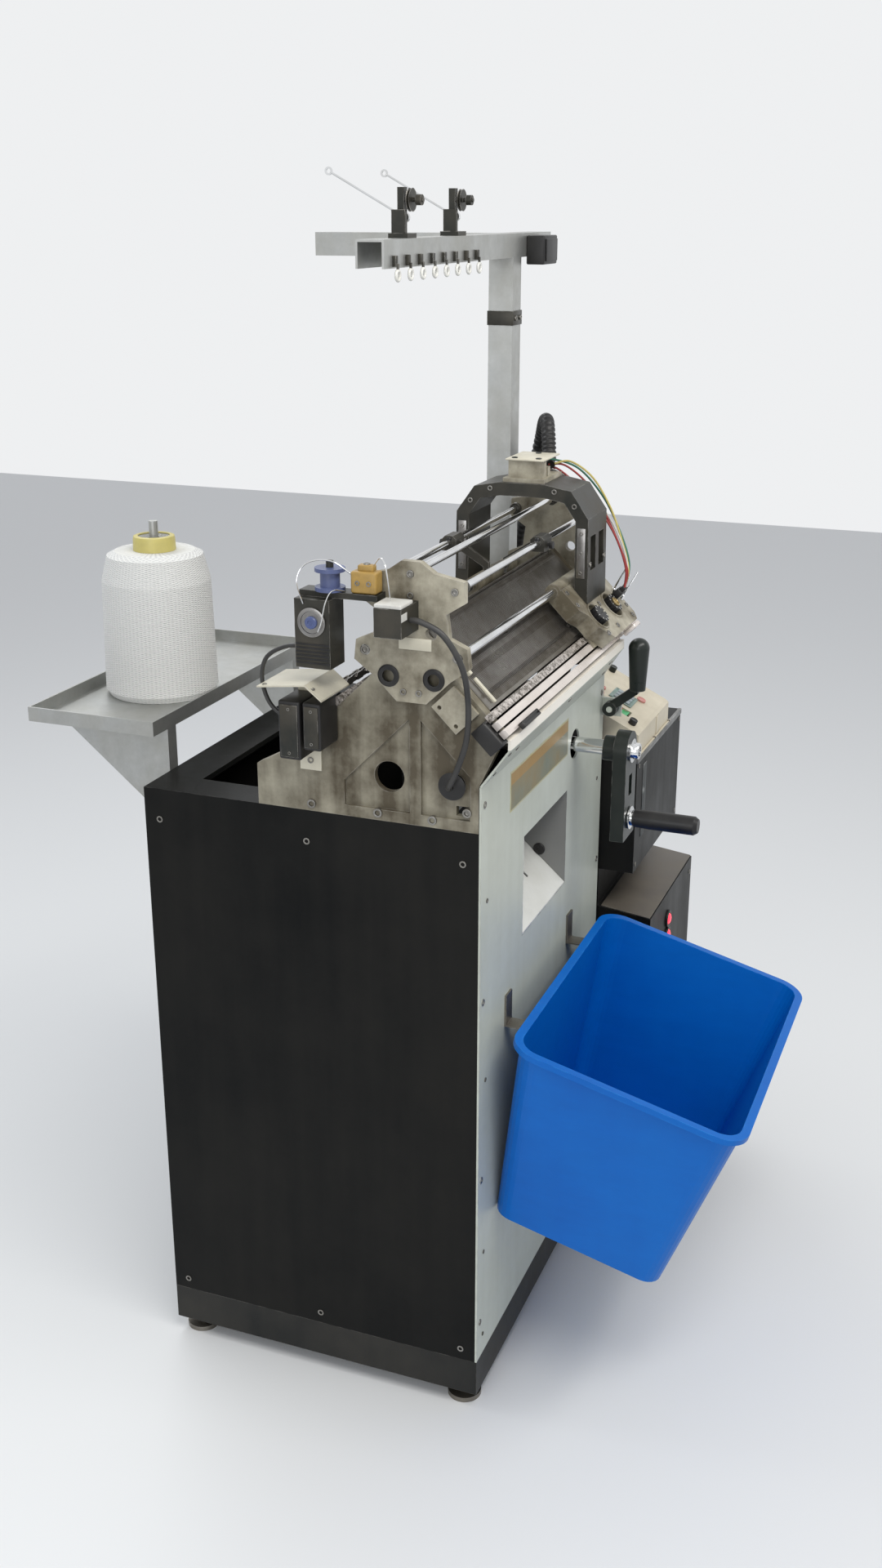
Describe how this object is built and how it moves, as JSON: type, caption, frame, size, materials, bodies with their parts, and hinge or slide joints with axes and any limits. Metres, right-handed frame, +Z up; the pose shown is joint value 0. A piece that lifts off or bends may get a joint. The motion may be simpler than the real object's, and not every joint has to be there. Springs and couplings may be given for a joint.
{
  "type": "automatic glove knitting machine",
  "caption": "Flat-bed glove knitting machine with a sloped double needle bed, sweeping carriage, hand crank, control box, yarn stand and hung bin.",
  "frame": {"origin": "centre of the machine's bounding box at floor level", "axes": "+X to the operator's right along the needle beds, +Y from the operator to the rear, +Z up"},
  "size_m": [0.985, 1.1142, 1.7882],
  "materials": {
    "black_sheet": "satin black paint, dusty, with scuffed edges",
    "base_paint": "dark grey paint, scuffed",
    "steel_parts": "oiled machined steel",
    "cover_paint": "pale green-grey stove enamel",
    "chute_paint": "off-white paint",
    "bin_plastic": "moulded blue plastic",
    "frame_casting": "beige-olive machine enamel over casting, oil stained",
    "cream_casting": "cream machine enamel",
    "ground_rail": "ground steel with an oily sheen",
    "needle_steel": "polished needle steel",
    "chrome_rod": "hard chrome",
    "dark_metal": "dark oiled metal",
    "black_plastic": "matt black",
    "gear_steel": "oiled steel",
    "belt_rubber": "black rubber",
    "motor_paint": "grey-green motor paint",
    "black_enamel": "black enamel, rubbed",
    "beige_plastic": "beige powder coat",
    "switch_plastic": "green and red switch caps",
    "breaker_plastic": "light grey",
    "galvanised_tube": "galvanised steel, dull",
    "yarn": "wound white yarn",
    "cream_sheet": "cream painted sheet",
    "blue_plastic": "dark blue plastic"
  },
  "bodies": {
    "root": {"base_frame": "base_paint", "levelling_feet": "steel_parts", "lower_cabinet": "black_sheet", "rear_cover": "black_sheet", "front_cover": "cover_paint", "glove_chute": "chute_paint", "bin_hooks": "steel_parts", "glove_bin": "bin_plastic", "left_end_frame": "frame_casting", "right_end_frame": "frame_casting", "front_needle_bed": "steel_parts", "rear_needle_bed": "steel_parts", "front_needles": "needle_steel", "rear_needles": "needle_steel", "bed_end_plates": "cream_casting", "front_rails": "ground_rail", "rear_rails": "ground_rail", "left_rail_bracket": "cream_casting", "right_rail_bracket": "cream_casting", "guide_rods": "chrome_rod", "feeder_rods": "chrome_rod", "conduits": "black_plastic", "drive_plate": "steel_parts", "drive_chain": "gear_steel", "drive_belt": "belt_rubber", "drive_motor": "motor_paint", "control_box": "black_sheet", "panel_housing": "beige_plastic", "control_cabinet": "black_sheet", "breaker": "breaker_plastic", "stand_pole": "galvanised_tube", "stand_beam": "galvanised_tube", "tension_units": "dark_metal", "yarn_tray": "galvanised_tube", "yarn_cone": "yarn", "drive_cover": "cream_sheet", "elastic_feed_unit": "dark_metal"},
    "carriage": {"carriage_front": "cream_casting", "carriage_rear": "cream_casting", "carriage_bridge": "dark_metal", "selector_unit": "cream_casting"},
    "left_knob": {"stitch_knob_left": "black_plastic"},
    "right_knob": {"stitch_knob_right": "black_plastic"},
    "first_feeder": {"yarn_feeder_1": "dark_metal"},
    "second_feeder": {"yarn_feeder_2": "dark_metal"},
    "crank_shaft": {"main_shaft": "chrome_rod", "crank_gear": "gear_steel", "driven_pulley": "gear_steel", "crank_arm": "black_enamel"},
    "grip": {"crank_grip": "black_plastic"},
    "chain_drive": {"drive_sprocket": "gear_steel", "sprocket_gear": "gear_steel"},
    "chain_idler": {"idler_sprocket": "gear_steel"},
    "motor_output": {"motor_pulley": "gear_steel"},
    "lever": {"clutch_lever": "black_enamel"},
    "box_door": {"control_box_door": "black_sheet"},
    "rocker": {"rocker_switch": "switch_plastic"},
    "first_takeup": {"takeup_arm_1": "chrome_rod"},
    "second_takeup": {"takeup_arm_2": "chrome_rod"},
    "feed_roller": {"elastic_feed_roller": "blue_plastic"}
  },
  "joints": [
    {"name": "carriage_travel", "type": "slide", "parent": "root", "child": "carriage", "axis": [1, 0, 0], "range_m": [-0.364, 0]},
    {"name": "left_knob_turn", "type": "hinge", "parent": "carriage", "child": "left_knob", "pos_m": [0.0135, -0.2104, 1.14912], "axis": [0, -0.7071, 0.7071], "range_deg": [-150, 150]},
    {"name": "right_knob_turn", "type": "hinge", "parent": "carriage", "child": "right_knob", "pos_m": [0.0895, -0.2104, 1.14912], "axis": [0, -0.7071, 0.7071], "range_deg": [-150, 150]},
    {"name": "first_feeder_travel", "type": "slide", "parent": "root", "child": "first_feeder", "axis": [1, 0, 0], "range_m": [-0.28, 0.2]},
    {"name": "second_feeder_travel", "type": "slide", "parent": "root", "child": "second_feeder", "axis": [1, 0, 0], "range_m": [-0.24, 0.24]},
    {"name": "crank_turn", "type": "hinge", "parent": "root", "child": "crank_shaft", "pos_m": [0.0085, -0.18095, 0.942], "axis": [0, 1, 0], "continuous": true},
    {"name": "grip_spin", "type": "hinge", "parent": "crank_shaft", "child": "grip", "pos_m": [0.0085, -0.28095, 0.831], "axis": [0, 1, 0], "continuous": true},
    {"name": "sprocket_turn", "type": "hinge", "parent": "root", "child": "chain_drive", "pos_m": [0.08487, 0.11905, 1.01837], "axis": [0, 1, 0], "continuous": true},
    {"name": "idler_turn", "type": "hinge", "parent": "root", "child": "chain_idler", "pos_m": [-0.33313, 0.11905, 1.01837], "axis": [0, 1, 0], "continuous": true},
    {"name": "motor_turn", "type": "hinge", "parent": "root", "child": "motor_output", "pos_m": [0.0475, 0.08505, 0.187], "axis": [0, 1, 0], "continuous": true},
    {"name": "lever_swing", "type": "hinge", "parent": "root", "child": "lever", "pos_m": [0.1555, -0.19695, 0.96], "axis": [1, 0, 0], "range_deg": [-4, 14]},
    {"name": "box_door_swing", "type": "hinge", "parent": "root", "child": "box_door", "pos_m": [0.4885, 0.17705, 0.766], "axis": [0, 0, 1], "range_deg": [0, 110]},
    {"name": "rocker_tilt", "type": "hinge", "parent": "root", "child": "rocker", "pos_m": [0.2485, -0.18995, 0.917], "axis": [1, 0, 0], "range_deg": [-6, 6]},
    {"name": "first_takeup_swing", "type": "hinge", "parent": "root", "child": "first_takeup", "pos_m": [-0.2022, 0.01505, 1.724], "axis": [1, 0, 0], "range_deg": [-25, 20], "stiffness_Nm_per_rad": 0.2},
    {"name": "second_takeup_swing", "type": "hinge", "parent": "root", "child": "second_takeup", "pos_m": [-0.0122, 0.01505, 1.724], "axis": [1, 0, 0], "range_deg": [-25, 20], "stiffness_Nm_per_rad": 0.2},
    {"name": "feed_roller_spin", "type": "hinge", "parent": "root", "child": "feed_roller", "pos_m": [-0.4525, 0.01905, 1.285], "axis": [0, 0, 1], "continuous": true}
  ],
  "couplings": [
    {"joint": "sprocket_turn", "follows": "crank_turn", "ratio": -0.5},
    {"joint": "idler_turn", "follows": "crank_turn", "ratio": -0.5},
    {"joint": "motor_turn", "follows": "crank_turn", "ratio": 1.8333}
  ]
}
